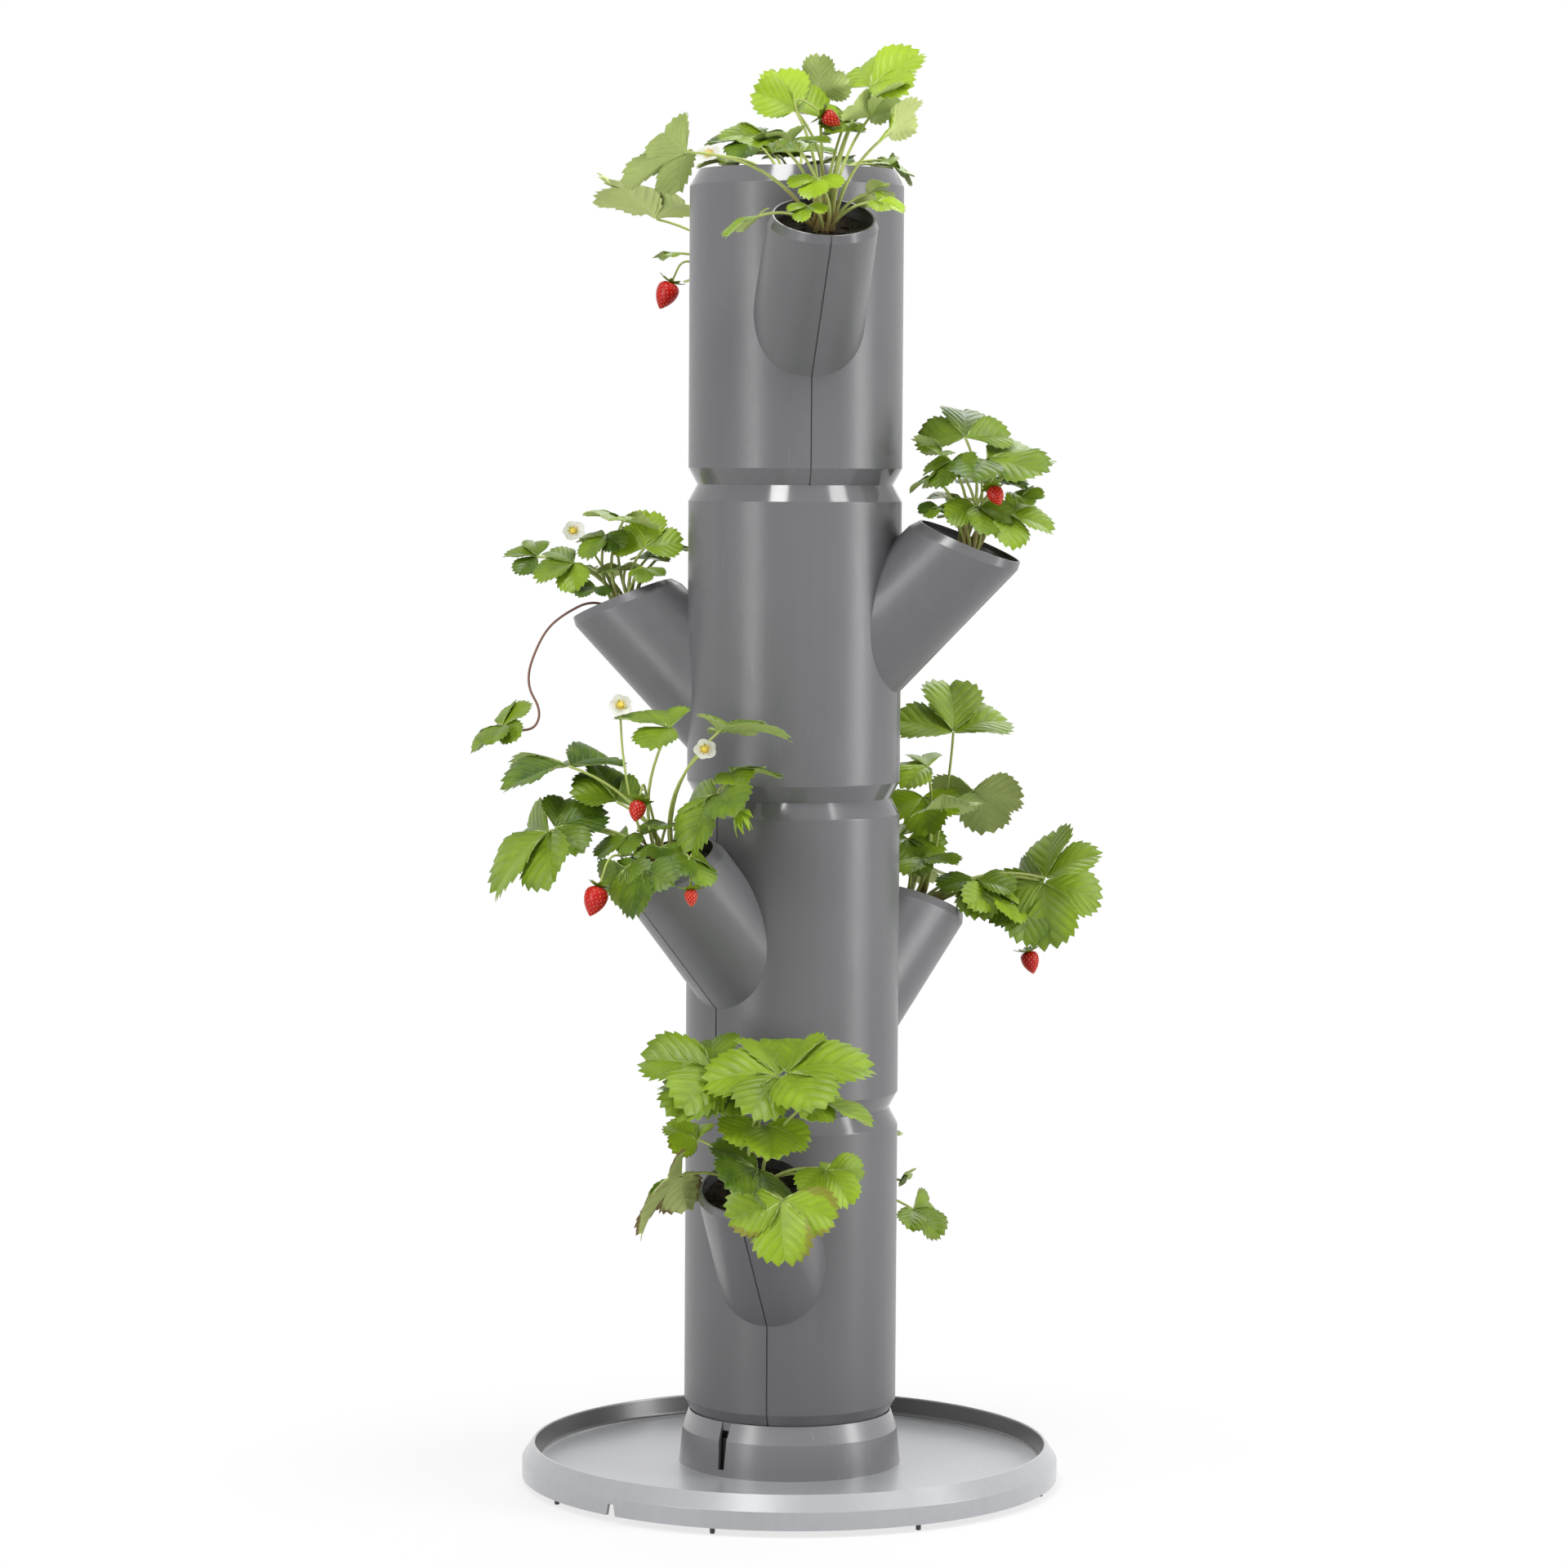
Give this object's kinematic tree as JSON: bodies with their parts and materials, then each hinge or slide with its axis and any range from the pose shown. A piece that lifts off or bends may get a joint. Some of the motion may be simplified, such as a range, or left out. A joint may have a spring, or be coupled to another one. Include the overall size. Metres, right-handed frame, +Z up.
{
  "type": "strawberry planter",
  "caption": "Tower planter on a round drip tray: stacked swivelling storeys of two half shells with slanted pockets that hold soil and strawberry plants.",
  "frame": {"origin": "middle of the flat underside of the tray's cup, on the tower's axis, at floor level", "axes": "+Z up along the tower's axis, -Y towards the picture's viewer, +X to the viewer's right"},
  "size_m": [0.459, 0.3958, 1.006],
  "materials": {
    "tray": "satin",
    "feet": "matt",
    "shell": "satin",
    "soil": "loose and rough",
    "foliage": "soft, slightly glossy",
    "berry": "glossy",
    "petal": "soft"
  },
  "bodies": {
    "base": {"drip_tray": "tray", "tray_feet": "feet", "base_soil": "soil"},
    "bottom_storey": {"bottom_left_shell": "shell", "bottom_right_shell": "shell", "bottom_soil": "soil", "bottom_high_plant": "foliage", "bottom_low_plant": "foliage"},
    "lower_storey": {"lower_left_shell": "shell", "lower_right_shell": "shell", "lower_soil": "soil", "lower_high_plant": "foliage", "lower_high_berries": "berry", "lower_high_flowers": "petal", "lower_low_plant": "foliage", "lower_low_berries": "berry"},
    "upper_storey": {"upper_left_shell": "shell", "upper_right_shell": "shell", "upper_soil": "soil", "upper_high_plant": "foliage", "upper_high_berries": "berry", "upper_low_plant": "foliage", "upper_low_flowers": "petal"},
    "top_storey": {"top_left_shell": "shell", "top_right_shell": "shell", "top_soil": "soil", "top_high_plant": "foliage", "top_high_berries": "berry", "top_low_plant": "foliage", "top_low_berries": "berry", "top_mouth_plant": "foliage", "top_mouth_flowers": "petal"}
  },
  "joints": [
    {"name": "bottom_swivel", "type": "hinge", "parent": "base", "child": "bottom_storey", "pos_m": [0, 0, 0.0485], "axis": [0, 0, 1], "continuous": true},
    {"name": "lower_swivel", "type": "hinge", "parent": "bottom_storey", "child": "lower_storey", "pos_m": [0, 0, 0.268], "axis": [0, 0, 1], "continuous": true},
    {"name": "upper_swivel", "type": "hinge", "parent": "lower_storey", "child": "upper_storey", "pos_m": [0, 0, 0.4875], "axis": [0, 0, 1], "continuous": true},
    {"name": "top_swivel", "type": "hinge", "parent": "upper_storey", "child": "top_storey", "pos_m": [0, 0, 0.707], "axis": [0, 0, 1], "continuous": true}
  ]
}
